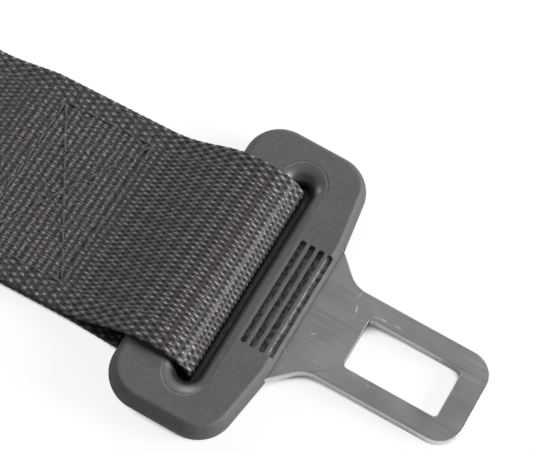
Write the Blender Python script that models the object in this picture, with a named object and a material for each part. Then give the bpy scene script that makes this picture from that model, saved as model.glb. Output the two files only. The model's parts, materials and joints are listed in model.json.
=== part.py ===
"""Latch end of a seat belt: a steel tongue in a plastic cover, on a sewn loop of woven webbing.

The part lies on a table as it would when dropped there: the loop's underside and the blade's tip
touch the table. Metres, +X the way the blade goes into its buckle, +Y across, +Z up, with the
origin on the table under the middle of the whole part.
"""
import math

import bmesh
import bpy
from mathutils import Vector

# Woven webbing
WEBBING_WIDTH = 0.0475
WEBBING_THICK = 0.0013
RIB_PITCH = 0.00155
RIB_DEPTH = 0.00016
SELVAGE_WIDTH = 0.0054
SELVAGE_BLEND = 0.0005
EDGE_ROUND = 0.0006
EDGE_THICK = 0.0006
PLY_GAP = 0.0003

# How the webbing lies, measured back from the hinge axis in the rear bar
THROAT_LENGTH = 0.0163
TAIL_MARGIN = 0.0037
FRONT_MARGIN = 0.0011
PACK_LIFT = 0.0013
RAMP_LENGTH = 0.0142
FREE_LENGTH = 0.0140
UNDER_BAR_GAP = 0.0006
OVER_BAR_GAP = 0.0011
SLOT_FRONT_ROOM = 0.0012

# Curves of the loop and the ramp: places as shares of the bar, handles as shares of their run
CROWN_BEHIND = 0.06
UNDERSIDE_AHEAD = 0.20
UNDERSIDE_REACH = 0.72
SLOT_CLIMB = 0.80
SLOT_RISE = 0.50
CROWN_REACH = 0.52
CROWN_LEAVE = 0.40
PACK_ARRIVE = 0.42
RAMP_LEAVE = 0.20
RAMP_ARRIVE = 0.30

# Sewing: a box with two diagonals
STITCH_BOX_LENGTH = 0.0210
STITCH_EDGE_MARGIN = 0.0055
STITCH_LENGTH = 0.0027
STITCH_PITCH = 0.0038
STITCH_WIDTH = 0.0008
STITCH_THICK = 0.00045
STITCH_DIP = 0.4
STITCH_LEAN = 0.14
STITCH_CROWN = 0.6
STITCH_STEP = 0.00002

# Plastic cover
BAR_WIDTH = 0.01205
SLOT_WIDTH = 0.0048
SLOT_SIDE_ROOM = 0.00135
SLOT_FLARE = 0.00325
END_FLARE = 0.6
FRONT_WIDTH = 0.01185
COVER_END_WALL = 0.0099
COVER_THICK = 0.0068
COVER_CORNER = 0.0080
FRONT_SWEEP = 0.0016
RIM_INSET = 0.0016
LIP_ANGLE = 82
CUT_PAST = 0.0006

# Grip grooves in the cover's top
GRIP_COUNT = 4
GRIP_PITCH = 0.00207
GRIP_WIDTH = 0.0013
GRIP_LENGTH = 0.0257
GRIP_DEPTH = 0.0012
GRIP_INSET = 0.0040
GRIP_CORNER = 0.0003

# Steel plate
PLATE_THICK = 0.0023
BLADE_WIDTH = 0.0213
BLADE_REACH = 0.0384
TIP_RADIUS = 0.0055
TIP_BAND = 0.0058
WINDOW_LENGTH = 0.0211
WINDOW_WIDTH = 0.0119
WINDOW_CORNER = 0.0010
ROOT_WIDTH = 0.0326
SHOULDER_FILLET = 0.0060
HEAD_WALL = 0.0030
HEAD_CORNER = 0.0050
SLOT_LINING = 0.0018
PLATE_EDGE = 0.0002

# Clearance between touching pieces
FIT_GAP = 0.0003

# Smoothness
ARC_STEPS = 8
FILLET_STEPS = 5
CORNER_STEPS = 4
GRIP_STEPS = 2
FLARE_STEPS = 6
RIM_STEPS = 4
PATH_STEPS = 24
SHARP_ANGLE = 40
MERGE_DISTANCE = 0.000001

# Places along the tongue, from the hinge axis in the middle of the rear bar
COVER_REAR = -BAR_WIDTH / 2
SLOT_REAR = BAR_WIDTH / 2
SLOT_FRONT = SLOT_REAR + SLOT_WIDTH
COVER_FRONT = SLOT_FRONT + FRONT_WIDTH
BLADE_TIP = COVER_FRONT + BLADE_REACH
SLOT_HALF = WEBBING_WIDTH / 2 + SLOT_SIDE_ROOM
COVER_HALF = SLOT_HALF + COVER_END_WALL

# Rest: the bar lies over one ply of webbing, and the blade's tip touches the table
BAR_HEIGHT = WEBBING_THICK + UNDER_BAR_GAP + COVER_THICK / 2
TIP_DIAGONAL = math.hypot(BLADE_TIP, PLATE_THICK / 2)
PITCH = math.asin(BAR_HEIGHT / TIP_DIAGONAL) - math.atan2(PLATE_THICK / 2, BLADE_TIP)

# Places along the webbing, from the hinge axis
PACK_FRONT = COVER_REAR - THROAT_LENGTH
STITCH_FRONT = PACK_FRONT - FRONT_MARGIN
STITCH_REAR = STITCH_FRONT - STITCH_BOX_LENGTH
TAIL_END = STITCH_REAR - TAIL_MARGIN
RAMP_END = TAIL_END - RAMP_LENGTH
FREE_END = RAMP_END - FREE_LENGTH

# The hinge axis lies ahead of or behind the origin by half of what the two ends differ
HINGE_X = -(FREE_END + BLADE_TIP * math.cos(PITCH) + PLATE_THICK / 2 * math.sin(PITCH)) / 2


def clear_scene():
    for item in list(bpy.data.objects):
        bpy.data.objects.remove(item)


def material(name, colour, roughness, metallic=0.0):
    made = bpy.data.materials.new(name)
    made.use_nodes = True
    shader = made.node_tree.nodes["Principled BSDF"]
    shader.inputs["Base Color"].default_value = (*colour, 1.0)
    shader.inputs["Roughness"].default_value = roughness
    shader.inputs["Metallic"].default_value = metallic
    made.diffuse_color = (*colour, 1.0)
    return made


def object_from(name, bm, finish=None, parent=None):
    """A linked object holding the bmesh, with smooth faces and sharp corners."""
    bmesh.ops.recalc_face_normals(bm, faces=bm.faces)
    mesh = bpy.data.meshes.new(name)
    bm.to_mesh(mesh)
    bm.free()
    mesh.shade_smooth()
    mesh.set_sharp_from_angle(angle=math.radians(SHARP_ANGLE))
    made = bpy.data.objects.new(name, mesh)
    bpy.context.scene.collection.objects.link(made)
    if finish:
        mesh.materials.append(finish)
    if parent:
        made.parent = parent
    return made


def combine(body, other, operation):
    """Takes the other shape out of the body, or joins it on, and hides it."""
    other.hide_render = True
    other.display_type = "WIRE"
    modifier = body.modifiers.new(other.name, "BOOLEAN")
    modifier.operation = operation
    modifier.solver = "EXACT"
    modifier.object = other


def cut(body, cutter):
    combine(body, cutter, "DIFFERENCE")


def join(body, addition):
    combine(body, addition, "UNION")


def arc(centre, radius, start, end, steps=ARC_STEPS):
    """Points round a centre, from one angle in degrees to another."""
    turns = [math.radians(start + (end - start) * i / steps) for i in range(steps + 1)]
    return [(centre[0] + radius * math.cos(a), centre[1] + radius * math.sin(a)) for a in turns]


def mirrored(half):
    """A closed outline from its +Y half, which runs from the front round to the rear."""
    return half + [(x, -y) for x, y in reversed(half)]


def rounded_box(rear, front, half_width, corner, steps=ARC_STEPS):
    front_arc = arc((front - corner, half_width - corner), corner, 0, 90, steps)
    rear_arc = arc((rear + corner, half_width - corner), corner, 90, 180, steps)
    return mirrored(front_arc + rear_arc)


def prism(name, rings, finish=None, parent=None):
    """Joins level outlines, given as (height, points) from the bottom up, into a closed body."""
    bm = bmesh.new()
    loops = [[bm.verts.new((x, y, z)) for x, y in points] for z, points in rings]
    for low, high in zip(loops, loops[1:]):
        for i in range(len(low)):
            j = (i + 1) % len(low)
            bm.faces.new((low[i], low[j], high[j], high[i]))
    bm.faces.new(loops[0][::-1])
    bm.faces.new(loops[-1])
    return object_from(name, bm, finish, parent)


def cover_outline(inset):
    """Straight across the blade's root, then swept back a little to the rounded lobes."""
    lobe = COVER_HALF - COVER_CORNER
    radius = COVER_CORNER - inset
    root = (COVER_FRONT - inset, ROOT_WIDTH / 2)
    swept = math.degrees(math.atan2(FRONT_SWEEP, lobe - root[1]))
    front_arc = arc((COVER_FRONT - FRONT_SWEEP - COVER_CORNER, lobe), radius, swept, 90)
    rear_arc = arc((COVER_REAR + COVER_CORNER, lobe), radius, 90, 180)
    return mirrored([root] + front_arc + rear_arc)


def cover_blank(finish, parent):
    """The cover before its cuts: a slab whose rim bulges in one broad arc from face to face."""
    half = COVER_THICK / 2
    turn = 2 * math.atan(RIM_INSET / half)
    radius = half / math.sin(turn)
    rings = []
    for i in range(-RIM_STEPS, RIM_STEPS + 1):
        angle = turn * i / RIM_STEPS
        rings.append((radius * math.sin(angle), cover_outline(radius * (1 - math.cos(angle)))))
    return prism("tongue_cover", rings, finish, parent)


def slot_outline(grow, longer=0.0):
    """The belt slot at mid thickness, its walls moved out, and its ends by a further amount."""
    radius = SLOT_WIDTH / 2 + grow
    return rounded_box(SLOT_REAR - grow, SLOT_FRONT + grow, SLOT_HALF + grow + longer, radius)


def slot_cutter(parent):
    """The belt slot with rounded lips, which flare to both faces and further at the ends."""
    reach = COVER_THICK / 2
    steepest = math.radians(LIP_ANGLE)
    start = reach - SLOT_FLARE * math.sin(steepest)
    upper = []
    for i in range(FLARE_STEPS + 1):
        turn = steepest * i / FLARE_STEPS
        upper.append((start + SLOT_FLARE * math.sin(turn), SLOT_FLARE * (1 - math.cos(turn))))
    # the last stretch runs on past the face at the slope that the lip has there
    last_height, last_grow = upper[-1]
    upper[-1] = (last_height + CUT_PAST, last_grow + CUT_PAST * math.tan(steepest))
    levels = [(-z, grow) for z, grow in reversed(upper)] + upper
    rings = [(z, slot_outline(grow, grow * END_FLARE)) for z, grow in levels]
    return prism("belt_slot", rings, parent=parent)


def grip_cutter(index, parent):
    """One grip groove, with its floor at the same level all along."""
    middle = SLOT_FRONT + GRIP_INSET + index * GRIP_PITCH
    half = GRIP_WIDTH / 2
    outline = rounded_box(middle - half, middle + half, GRIP_LENGTH / 2, GRIP_CORNER, GRIP_STEPS)
    top = COVER_THICK / 2
    rings = [(top - GRIP_DEPTH, outline), (top + CUT_PAST, outline)]
    return prism("grip_groove_%d" % (index + 1), rings, parent=parent)


def plate_outline(grow=0.0):
    """The stamped plate: rounded tip, blade, 45 degree shoulders and the head in the cover."""
    blade = BLADE_WIDTH / 2 + grow
    tip = BLADE_TIP + grow
    tip_radius = TIP_RADIUS + grow
    fillet = SHOULDER_FILLET - grow
    head_front = COVER_FRONT - FRONT_SWEEP - HEAD_WALL + grow
    head_rear = COVER_REAR + HEAD_WALL - grow
    head_half = COVER_HALF - HEAD_WALL + grow
    # the flank runs at 45 degrees through the root's corner at the cover's front
    flank_sum = COVER_FRONT + ROOT_WIDTH / 2 + grow * math.sqrt(2)
    fillet_centre = (flank_sum - blade - fillet + fillet * math.sqrt(2), blade + fillet)
    points = arc((tip - tip_radius, blade - tip_radius), tip_radius, 0, 90)
    points += arc(fillet_centre, fillet, 270, 225, FILLET_STEPS)
    points.append((head_front, flank_sum - head_front))
    points += arc((head_front - HEAD_CORNER, head_half - HEAD_CORNER), HEAD_CORNER, 0, 90, CORNER_STEPS)
    points += arc((head_rear + HEAD_CORNER, head_half - HEAD_CORNER), HEAD_CORNER, 90, 180,
                  CORNER_STEPS)
    return mirrored(points)


def flat_part(name, outlines, thickness, edge, finish=None, parent=None):
    """A flat body from an outline and the outlines of its holes, with its edges broken."""
    curve = bpy.data.curves.new(name + "_outline", "CURVE")
    curve.dimensions = "2D"
    curve.fill_mode = "BOTH"
    curve.extrude = thickness / 2 - edge
    curve.bevel_depth = edge
    curve.bevel_resolution = 0
    curve.offset = -edge
    for points in outlines:
        spline = curve.splines.new("POLY")
        spline.points.add(len(points) - 1)
        for point, (x, y) in zip(spline.points, points):
            point.co = (x, y, 0, 1)
        spline.use_cyclic_u = True
    drawing = bpy.data.objects.new(name + "_outline", curve)
    bpy.context.scene.collection.objects.link(drawing)
    mesh = bpy.data.meshes.new_from_object(drawing)
    bpy.data.objects.remove(drawing)
    bm = bmesh.new()
    bm.from_mesh(mesh)
    bpy.data.meshes.remove(mesh)
    bmesh.ops.remove_doubles(bm, verts=bm.verts, dist=MERGE_DISTANCE)
    for face in bm.faces:
        face.material_index = 0
    return object_from(name, bm, finish, parent)


def tongue_plate(finish, parent):
    rear = BLADE_TIP - TIP_BAND - WINDOW_LENGTH
    front = BLADE_TIP - TIP_BAND
    window = rounded_box(rear, front, WINDOW_WIDTH / 2, WINDOW_CORNER, CORNER_STEPS)
    outlines = [plate_outline(), window, slot_outline(SLOT_LINING)]
    return flat_part("tongue_plate", outlines, PLATE_THICK, PLATE_EDGE, finish, parent)


def tongue_cover(finish, parent):
    cover = cover_blank(finish, parent)
    cut(cover, slot_cutter(parent))
    for index in range(GRIP_COUNT):
        cut(cover, grip_cutter(index, parent))
    outlines = [plate_outline(FIT_GAP), slot_outline(SLOT_LINING - FIT_GAP)]
    pocket = flat_part("plate_pocket", outlines, PLATE_THICK + 2 * FIT_GAP, PLATE_EDGE / 2,
                       parent=parent)
    cut(cover, pocket)
    return cover


def on_tongue(x, z):
    """A place in the tongue's own plane of symmetry, as (X, Z) over the table."""
    along = HINGE_X + x * math.cos(PITCH) + z * math.sin(PITCH)
    return Vector((along, BAR_HEIGHT - x * math.sin(PITCH) + z * math.cos(PITCH)))


def behind(x, z):
    """A place measured from the hinge axis along the table, as (X, Z)."""
    return Vector((HINGE_X + x, z))


def bend(start, leave, arrive, end):
    """Points on a cubic curve, all but the last."""
    points = []
    for i in range(PATH_STEPS):
        t = i / PATH_STEPS
        s = 1 - t
        points.append(s ** 3 * start + 3 * s * s * t * leave + 3 * s * t * t * arrive + t ** 3 * end)
    return points


def level_bend(start, end, leave=0.5, arrive=0.5):
    """A curve that leaves and arrives level, its handles given as shares of its run."""
    run = end.x - start.x
    return bend(start, start + Vector((run * leave, 0)), end - Vector((run * arrive, 0)), end)


def webbing_path():
    """The middle of the webbing from its sewn tail, round the bar and back to the free end."""
    half = WEBBING_THICK / 2
    table = half
    lower = PACK_LIFT + half
    upper = lower + WEBBING_THICK + PLY_GAP
    slot_x = SLOT_FRONT - SLOT_FRONT_ROOM - half
    up = Vector((math.sin(PITCH), math.cos(PITCH)))
    in_slot = on_tongue(slot_x, 0)
    over_bar = on_tongue(-BAR_WIDTH * CROWN_BEHIND, COVER_THICK / 2 + OVER_BAR_GAP + half)
    under_bar = behind(BAR_WIDTH * UNDERSIDE_AHEAD, table)
    toe = in_slot - behind(0, 0)
    climb = up * (in_slot.y - table)
    crown = over_bar - in_slot
    path = [behind(TAIL_END, lower)]
    path += level_bend(behind(PACK_FRONT, lower), behind(COVER_REAR - half, table))
    path += bend(under_bar, under_bar + Vector((toe.x * UNDERSIDE_REACH, 0)),
                 in_slot - climb * SLOT_CLIMB, in_slot)
    path += bend(in_slot, in_slot + up * crown.y * SLOT_RISE,
                 over_bar - Vector((crown.x * CROWN_REACH, 0)), over_bar)
    path += level_bend(over_bar, behind(PACK_FRONT, upper), CROWN_LEAVE, PACK_ARRIVE)
    path += level_bend(behind(TAIL_END, upper), behind(RAMP_END, table), RAMP_LEAVE, RAMP_ARRIVE)
    path += [behind(RAMP_END, table), behind(FREE_END, table)]
    return path


def even_steps(points, step):
    """Points at equal distances along a line, each with the line's direction there."""
    marks = [0.0]
    for a, b in zip(points, points[1:]):
        marks.append(marks[-1] + (b - a).length)
    count = round(marks[-1] / step)
    found = []
    segment = 0
    for i in range(count + 1):
        mark = marks[-1] * i / count
        while segment < len(points) - 2 and marks[segment + 1] < mark:
            segment += 1
        share = (mark - marks[segment]) / (marks[segment + 1] - marks[segment])
        found.append(points[segment].lerp(points[segment + 1], share))
    ways = []
    for i in range(len(found)):
        ways.append((found[min(i + 1, count)] - found[max(i - 1, 0)]).normalized())
    return list(zip(found, ways))


def webbing(finish):
    """One strip with a rib at each pick, its selvages half a rib out of step."""
    half_width = WEBBING_WIDTH / 2
    half_thick = WEBBING_THICK / 2
    selvage = half_width - SELVAGE_WIDTH
    side = [
        (half_width, EDGE_THICK / 2, 0),
        (half_width - EDGE_ROUND, half_thick, 1),
        (selvage + SELVAGE_BLEND, half_thick, 1),
        (selvage - SELVAGE_BLEND, half_thick, 0),
    ]
    rows = [(-y, thick, phase) for y, thick, phase in side]
    rows += side[::-1]
    bm = bmesh.new()
    sections = []
    for index, (point, way) in enumerate(even_steps(webbing_path(), RIB_PITCH / 2)):
        normal = Vector((-way.y, way.x))
        faces = []
        for sign in (1, -1):
            face = []
            for y, thick, phase in rows:
                sunk = RIB_DEPTH if (index + phase) % 2 else 0.0
                edge = point + normal * sign * (thick - sunk)
                face.append(bm.verts.new((edge.x, y, edge.y)))
            faces.append(face)
        sections.append(faces[0] + faces[1][::-1])
    for here, there in zip(sections, sections[1:]):
        for i in range(len(here)):
            j = (i + 1) % len(here)
            bm.faces.new((here[i], here[j], there[j], there[i]))
    for section in (sections[0], sections[-1]):
        for i in range(len(rows) - 1):
            bm.faces.new((section[i], section[i + 1], section[-i - 2], section[-i - 1]))
    return object_from("webbing", bm, finish)


def seam_marks(corners, closed):
    """Cross lines along a sewn line, as (middle, half across, rise): proud stitches and dips."""
    spots = corners + corners[:1] if closed else corners
    marks = []
    for index, (a, b) in enumerate(zip(spots, spots[1:])):
        run = b - a
        way = run.normalized()
        across = Vector((-way.y, way.x))
        if closed:
            before = (a - spots[index - 1 if index else -2]).normalized()
            mitre = (across + Vector((-before.y, before.x))) / (1 + way.dot(before))
            marks.append((a, mitre, STITCH_DIP))
        count = max(1, round(run.length / STITCH_PITCH))
        pitch = run / count
        hole = (STITCH_PITCH - STITCH_LENGTH) / STITCH_PITCH / 2
        for stitch in range(count):
            start = a + pitch * stitch
            for share, rise in ((hole, STITCH_DIP), (hole + STITCH_LEAN, 1.0),
                                (1 - hole - STITCH_LEAN, 1.0), (1 - hole, STITCH_DIP)):
                marks.append((start + pitch * share, across, rise))
    return marks


def seam(name, corners, closed, level, side, finish=None):
    """A continuous thread along a sewn line, on one face of the plies."""
    bm = bmesh.new()
    rings = []
    for middle, across, rise in seam_marks(corners, closed):
        # a dip is narrower than a stitch's crown, as well as lower
        half_width = STITCH_WIDTH / 2 * (1 + rise) / 2
        crest = level + side * rise * STITCH_THICK
        ring = []
        for share, height in ((-1, level), (-STITCH_CROWN, crest), (STITCH_CROWN, crest), (1, level)):
            spot = middle + across * share * half_width
            ring.append(bm.verts.new((spot.x, spot.y, height)))
        rings.append(ring)
    following = rings[1:] + rings[:1] if closed else rings[1:]
    for here, there in zip(rings, following):
        for i in range(4):
            j = (i + 1) % 4
            bm.faces.new((here[i], here[j], there[j], there[i]))
    if not closed:
        bm.faces.new(rings[0])
        bm.faces.new(rings[-1])
    return object_from(name, bm, finish)


def thread(name, level, side, finish):
    """One thread of the lock stitch: the sewn box with its two diagonals, as one body."""
    half_length = STITCH_BOX_LENGTH / 2
    half_width = WEBBING_WIDTH / 2 - STITCH_EDGE_MARGIN
    middle = Vector((HINGE_X + STITCH_FRONT - half_length, 0))
    corners = [middle + Vector((x * half_length, y * half_width))
               for x, y in ((1, 1), (-1, 1), (-1, -1), (1, -1))]
    box = seam(name, corners, True, level, side, finish)
    for index in range(2):
        ends = [corners[index], corners[index + 2]]
        raised = level + side * STITCH_STEP * (index + 1)
        diagonal = seam("%s_diagonal_%d" % (name, index + 1), ends, False, raised, side)
        join(box, diagonal)
    return box


def build():
    clear_scene()
    cloth = material("charcoal_webbing", (0.085, 0.078, 0.082), 0.85)
    nylon = material("black_thread", (0.022, 0.022, 0.024), 0.7)
    steel = material("plated_steel", (0.52, 0.52, 0.51), 0.35, 1.0)
    plastic = material("dark_grey_plastic", (0.105, 0.10, 0.10), 0.5)

    webbing(cloth)
    sewn_top = PACK_LIFT + 2 * WEBBING_THICK + PLY_GAP
    thread("needle_thread", sewn_top + FIT_GAP, 1, nylon)
    thread("bobbin_thread", PACK_LIFT - FIT_GAP, -1, nylon)

    hinge = bpy.data.objects.new("tongue_hinge", None)
    bpy.context.scene.collection.objects.link(hinge)
    hinge.location = (HINGE_X, 0, BAR_HEIGHT)
    hinge.rotation_euler = (0, PITCH, 0)
    tongue_plate(steel, hinge)
    tongue_cover(plastic, hinge)


build()
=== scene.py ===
"""Looks of a seat belt's latch end: woven webbing, its sewing, the moulded cover and the steel tongue.

Metres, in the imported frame: +X the way the blade goes into its buckle, +Y across, +Z up. Shapes of
the tongue are drawn in its own frame, from the hinge axis in the middle of the cover's rear bar.
"""
import json
import math

import bmesh
import bpy
from mathutils import Matrix, Vector


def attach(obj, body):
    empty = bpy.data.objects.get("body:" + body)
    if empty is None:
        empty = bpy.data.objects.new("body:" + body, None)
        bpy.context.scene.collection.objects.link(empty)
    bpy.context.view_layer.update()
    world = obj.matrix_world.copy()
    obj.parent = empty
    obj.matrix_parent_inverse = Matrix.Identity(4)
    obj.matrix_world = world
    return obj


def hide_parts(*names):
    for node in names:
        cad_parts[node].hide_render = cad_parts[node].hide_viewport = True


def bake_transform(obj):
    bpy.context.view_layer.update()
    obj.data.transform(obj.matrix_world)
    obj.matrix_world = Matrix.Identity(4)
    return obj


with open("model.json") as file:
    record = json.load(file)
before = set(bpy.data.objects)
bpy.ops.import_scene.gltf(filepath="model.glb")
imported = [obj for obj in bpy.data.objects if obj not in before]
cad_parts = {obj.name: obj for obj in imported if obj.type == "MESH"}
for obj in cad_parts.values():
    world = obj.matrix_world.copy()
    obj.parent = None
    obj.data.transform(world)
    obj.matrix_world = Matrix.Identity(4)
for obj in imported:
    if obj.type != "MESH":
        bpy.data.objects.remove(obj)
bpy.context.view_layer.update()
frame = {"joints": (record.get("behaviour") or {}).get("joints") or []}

HINGE = Vector(frame["joints"][0]["pos_m"])
MM = 0.001

# Woven strip
WEBBING_WIDTH = 47.5 * MM
WEBBING_THICK = 1.3 * MM
PLY_GAP = 0.3 * MM
RIB_PITCH = 1.55 * MM
ROW_PITCH = 0.585 * MM
SELVAGE_WIDTH = 5.4 * MM
SELVAGE_ROW_PITCH = 0.78 * MM
SELVAGE_BLEND = 0.25 * MM
CORD_PITCH = 4.68 * MM
EDGE_ROUND = 0.62 * MM
EDGE_SCALLOP = 0.12 * MM
FLOAT_HEIGHT = 0.22 * MM
STEPS_PER_RIB = 5
OUTER_COLUMNS = 184
INNER_COLUMNS = 16
EDGE_STEPS = 4
STRIP_WELD = 0.005 * MM

# Its weave: noise scales are per metre, and shares are parts of a float's height
STRAY_SCALE = 260.0
WANDER = 0.31 * MM
STAGGER = 0.5
FLOAT_PEAK = 0.6
PLAIN_SHARE = 0.62
CORD_SHARE = 0.14
LUMP_SCALE = 800.0
LUMP_SHARE = 0.48
STREAK_SCALE = (900, 3000)
SEWN_CHECKS = 0.18
SEWN_RIBS = 0.38
SEWN_STREAKS = 1.2
SEWN_SINK = 0.40
SEWN_STRENGTH = 0.95
SEWN_SELVAGE = 0.5
SEWN_BEFORE = 4 * MM
SEWN_PAST = 1 * MM
SEWN_BEHIND = 8 * MM
SEWN_LOSS = 0.45

# How the strip lies, measured back from the hinge axis
BAR_WIDTH = 12.05 * MM
COVER_THICK = 6.8 * MM
SLOT_WIDTH = 4.8 * MM
THROAT_LENGTH = 16.3 * MM
TAIL_MARGIN = 3.7 * MM
FRONT_MARGIN = 1.1 * MM
PACK_LIFT = 1.3 * MM
RAMP_LENGTH = 14.2 * MM
FREE_LENGTH = 14.0 * MM
OVER_BAR_GAP = 1.1 * MM
SLOT_FRONT_ROOM = 1.2 * MM
CROWN_BEHIND = 0.06
UNDERSIDE_AHEAD = 0.20
UNDERSIDE_REACH = 0.72
SLOT_CLIMB = 0.80
SLOT_RISE = 0.50
CROWN_REACH = 0.52
CROWN_LEAVE = 0.40
PACK_ARRIVE = 0.42
RAMP_LEAVE = 0.20
RAMP_ARRIVE = 0.30
PATH_STEPS = 48
STRETCHES_BEFORE_SEWING = 5

# Sewing: a box with two diagonals
STITCH_BOX_LENGTH = 21.0 * MM
STITCH_EDGE_MARGIN = 5.5 * MM
STITCH_PITCH = 3.8 * MM
STITCH_LENGTH = 3.1 * MM
THREAD_RADIUS = 0.27 * MM
STITCH_RISE = 0.08 * MM
STITCH_SINK = 0.42 * MM
SEAM_DEPTH = 0.05 * MM
SEAM_WIDTH = 1.2 * MM
STITCH_STEPS = 7
STITCH_STRAY = 0.07
NEEDLE_SEED = 3
BOBBIN_SEED = 5
THREAD_TURNS = 5
THREAD_PLIES = 2

# Cover
SLOT_SIDE_ROOM = 1.35 * MM
SLOT_FLARE = 3.25 * MM
END_FLARE = 0.6
END_SHARE = 0.78
LIP_ANGLE = math.radians(82)
FLARE_STEP = 0.08 * MM
CUT_PAST = 0.6 * MM
FRONT_WIDTH = 11.85 * MM
COVER_END_WALL = 9.9 * MM
COVER_CORNER = 8.0 * MM
FRONT_SWEEP = 1.6 * MM
RIM_INSET = 1.6 * MM
RIM_FILLET = 0.9 * MM
RIM_FILLET_STEPS = 5
GRIP_COUNT = 4
GRIP_PITCH = 2.07 * MM
GRIP_WIDTH = 1.3 * MM
GRIP_LENGTH = 25.7 * MM
GRIP_DEPTH = 1.2 * MM
GRIP_INSET = 4.0 * MM
GRIP_CORNER = 0.4 * MM
GRIP_LIP = 0.14 * MM
GRIP_LIP_STEPS = 4
COVER_SHARP = 32

# Steel plate
PLATE_THICK = 2.3 * MM
BLADE_WIDTH = 21.3 * MM
BLADE_REACH = 38.4 * MM
TIP_RADIUS = 5.5 * MM
TIP_BAND = 5.8 * MM
WINDOW_LENGTH = 21.1 * MM
WINDOW_WIDTH = 11.9 * MM
WINDOW_CORNER = 1.0 * MM
ROOT_WIDTH = 32.6 * MM
SHOULDER_FILLET = 6.0 * MM
HEAD_WALL = 3.0 * MM
HEAD_CORNER = 5.0 * MM
SLOT_LINING = 1.8 * MM
PLATE_EDGE = 0.22 * MM
PLATE_EDGE_STEPS = 2
PLATE_WELD = 0.001 * MM
PLATE_SHARP = 40
FIT_GAP = 0.3 * MM

# Smoothness of the turned and lofted shapes
ARC_STEPS = 20
CORNER_STEPS = 6
FLARE_STEPS = 12
RIM_STEPS = 14

# Places along the tongue, from the hinge axis
COVER_REAR = -BAR_WIDTH / 2
SLOT_REAR = BAR_WIDTH / 2
SLOT_FRONT = SLOT_REAR + SLOT_WIDTH
COVER_FRONT = SLOT_FRONT + FRONT_WIDTH
BLADE_TIP = COVER_FRONT + BLADE_REACH
SLOT_HALF = WEBBING_WIDTH / 2 + SLOT_SIDE_ROOM
COVER_HALF = SLOT_HALF + COVER_END_WALL
LIP_REACH = SLOT_FLARE * (1 - math.cos(LIP_ANGLE))
WINDOW_REAR = BLADE_TIP - TIP_BAND - WINDOW_LENGTH
TIP_DIAGONAL = math.hypot(BLADE_TIP, PLATE_THICK / 2)
PITCH = math.asin(HINGE.z / TIP_DIAGONAL) - math.atan2(PLATE_THICK / 2, BLADE_TIP)
TONGUE = Matrix.Translation(HINGE) @ Matrix.Rotation(PITCH, 4, "Y")

# Places along the webbing, from the hinge axis
PACK_FRONT = COVER_REAR - THROAT_LENGTH
STITCH_FRONT = PACK_FRONT - FRONT_MARGIN
TAIL_END = STITCH_FRONT - STITCH_BOX_LENGTH - TAIL_MARGIN
RAMP_END = TAIL_END - RAMP_LENGTH
FREE_END = RAMP_END - FREE_LENGTH
SEWN_TOP = PACK_LIFT + 2 * WEBBING_THICK + PLY_GAP

# View: the camera's place and axes in the tongue's own frame
VIEW_PLACE = Vector((67.365, -193.32, 438.22)) * MM
VIEW_RIGHT = Vector((0.8692, 0.4827, 0.1070))
VIEW_UP = Vector((-0.4784, 0.7665, 0.4286))
VIEW_LENS = 160.83
VIEW_SENSOR = 36.0
VIEW_NEAREST = 0.01

# Colours, linear
FLOAT_COLOUR = (0.270, 0.243, 0.251)
GAP_SHADE_COLOUR = (0.008, 0.007, 0.008)
THREAD_COLOUR = (0.048, 0.044, 0.046)
GRAIN_COLOUR = (0.071, 0.069, 0.067)
SMOOTH_COLOUR = (0.083, 0.082, 0.081)
THROAT_SHADE_COLOUR = (0.02, 0.02, 0.02)
RUB_AND_HIGHLIGHT_COLOUR = (0.17, 0.168, 0.165)
DUST_COLOUR = (0.26, 0.255, 0.24)
STEEL_COLOUR = (0.335, 0.336, 0.332)
SHEARED_COLOUR = (0.64, 0.64, 0.63)
WINDOW_EDGE_SHADE_COLOUR = (0.10, 0.10, 0.10)
SCRATCH_COLOUR = (0.6, 0.6, 0.59)
SHEEN_COLOUR = (0.9, 0.86, 0.9)
FLOOR_COLOUR = (0.97, 0.97, 0.97)
FLOOR_BOUNCE = (0.28, 0.28, 0.28)
WHITE = (1.0, 1.0, 1.0)
BLACK = (0.0, 0.0, 0.0)

# Webbing's surface: the heights that make a float's ground, crown and shine, and the fibres' noise; its
# colour is painted shade in the gaps and in the furrows between yarn ends, and a painted highlight on
# the crowns
GROUND_RISE = (0.1, 0.5)
GROUND_SHARE = 0.19
CROWN_HIGHLIGHT_RISE = (0.48, 0.95)
SHINE_RISE = (0.15, 0.6)
CLOTH_ROUGHNESS = (0.8, 0.34)
FIBRE_SCALE = (500, 7000)
SPECK_SCALE = 1900.0
SPECK_RISE = (0.4, 0.62)
BLOTCH_SCALE = 60.0
FIBRE_DARK = 0.1
FIBRE_SHARE = 0.7
SPECK_SHARE = 0.75
BLOTCH_TONES = (0.8, 1.2)
END_SHADE_TONES = (0.7, 1.0)
END_RELIEF = 0.7
FIBRE_BUMP = 0.05 * MM
FLOAT_BUMP = 0.12 * MM

# Thread's surface: tones and roughness between its plies and on them; the tones are painted shade
# between the plies and a painted highlight on them
PLY_SHADE_TONES = (0.5, 1.4)
PLY_ROUGHNESS = (0.65, 0.5)
PLY_BUMP = 0.05 * MM

# Cover's surface: where each finish, and the painted shade deep in the slot's throat, begins and ends,
# out from the slot's wall
THROAT_SHADE_REACH = (0.4 * MM, 1.5 * MM)
GRAIN_ONSET = (LIP_REACH - 0.15 * MM, LIP_REACH + 0.05 * MM)
# a lighter ring at the lip's edge: wear from the belt, and a painted highlight along the edge
RUB_AND_HIGHLIGHT_ONSET = (LIP_REACH - 0.12 * MM, LIP_REACH)
RUB_AND_HIGHLIGHT_END = (LIP_REACH, LIP_REACH + 0.14 * MM)
RUB_AND_HIGHLIGHT_STRENGTH = 0.8

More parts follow.
